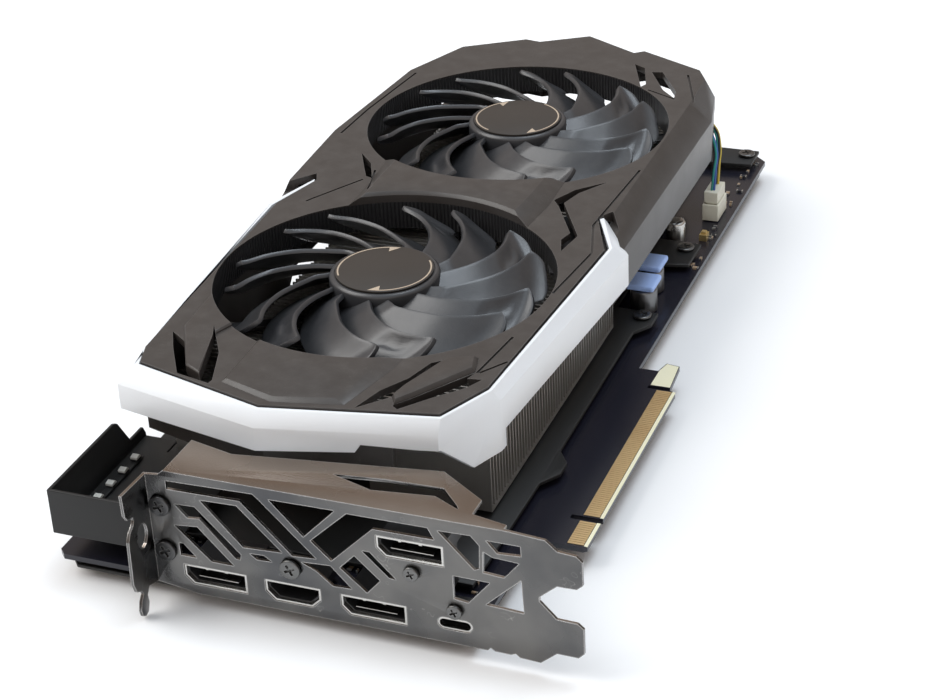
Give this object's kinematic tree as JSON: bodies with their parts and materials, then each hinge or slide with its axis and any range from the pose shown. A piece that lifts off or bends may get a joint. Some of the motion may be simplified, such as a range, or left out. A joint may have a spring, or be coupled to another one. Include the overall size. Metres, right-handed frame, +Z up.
{
  "type": "graphics card",
  "caption": "Dual-slot graphics card with a dark shroud, pearl white front trim, swept-blade fans, finned cooler, vented slot bracket and side tray.",
  "frame": {"origin": "centre of the bounding box's bottom face, with the card lying on its backplate", "axes": "+X from the screw tab towards the board's edge contacts, +Y from the slot bracket towards the far end, +Z up through the fans"},
  "size_m": [0.1534, 0.3152, 0.0538],
  "materials": {
    "shroud_plastic": "satin moulded plastic with a warm dark tone",
    "pearl_plastic": "pearl white satin paint",
    "blade_plastic": "dark grey satin plastic",
    "black_plastic": "black moulded plastic",
    "hub_print": "dark disc with a thin tan ring printed on it",
    "cream_plastic": "cream moulded plastic",
    "bracket_steel": "dark nickel-plated sheet steel",
    "black_sheet": "black coated sheet metal",
    "fin_aluminium": "thin bare aluminium fins",
    "copper": "bare copper",
    "nickel": "nickel-plated metal, slightly dull",
    "solder_mask": "black solder mask on a cream laminate",
    "gold": "gold-plated contact strips",
    "screw_steel": "zinc-plated steel",
    "black_steel": "black oxide steel",
    "chip_epoxy": "dark chip package",
    "thermal_pad": "soft light-blue thermal pad",
    "wire_jacket": "coloured insulated wires laid side by side"
  },
  "bodies": {
    "card": {"circuit_board": "solder_mask", "edge_contacts_short": "gold", "edge_contacts_long": "gold", "gpu_chip": "chip_epoxy", "memory_chip_1": "chip_epoxy", "memory_chip_2": "chip_epoxy", "memory_chip_3": "chip_epoxy", "memory_chip_4": "chip_epoxy", "capacitor": "nickel", "power_socket_eight": "black_plastic", "power_socket_six": "black_plastic", "choke_1": "nickel", "thermal_pad_1": "thermal_pad", "choke_2": "nickel", "thermal_pad_2": "thermal_pad", "fan_header": "cream_plastic", "fan_plug": "cream_plastic", "fan_rear_lead": "wire_jacket", "fan_front_lead": "wire_jacket", "mid_plate": "black_sheet", "plate_screw_1": "screw_steel", "plate_screw_2": "screw_steel", "plate_screw_3": "screw_steel", "side_tray": "black_sheet", "tray_clip_strip": "cream_plastic", "backplate": "black_sheet", "heatsink_screw_1": "screw_steel", "heatsink_screw_2": "screw_steel", "heatsink_screw_3": "screw_steel", "heatsink_screw_4": "screw_steel", "heatsink_base": "nickel", "fin_stack_front": "fin_aluminium", "fin_stack_rear": "fin_aluminium", "heat_pipe_1": "copper", "heat_pipe_2": "copper", "heat_pipe_3": "copper", "heat_pipe_4": "copper", "shroud": "shroud_plastic", "white_trim": "pearl_plastic", "fan_front_mount": "black_plastic", "fan_front_stator": "copper", "fan_rear_mount": "black_plastic", "fan_rear_stator": "copper", "slot_bracket": "bracket_steel", "bracket_screw_1": "black_steel", "bracket_screw_2": "black_steel", "bracket_screw_3": "screw_steel", "bracket_screw_4": "screw_steel", "bracket_screw_5": "screw_steel", "display_socket_1": "nickel", "display_socket_2": "nickel", "display_socket_3": "nickel", "hdmi_socket": "nickel", "usb_socket": "nickel"},
    "front_fan": {"fan_front_impeller": "blade_plastic", "fan_front_shaft": "screw_steel", "fan_front_label": "hub_print"},
    "rear_fan": {"fan_rear_impeller": "blade_plastic", "fan_rear_shaft": "screw_steel", "fan_rear_label": "hub_print"}
  },
  "joints": [
    {"name": "fan_front_spin", "type": "hinge", "parent": "card", "child": "front_fan", "pos_m": [-0.0161, -0.04505, 0.0438], "axis": [0, 0, 1], "continuous": true},
    {"name": "fan_rear_spin", "type": "hinge", "parent": "card", "child": "rear_fan", "pos_m": [-0.0161, 0.06885, 0.0438], "axis": [0, 0, 1], "continuous": true}
  ]
}
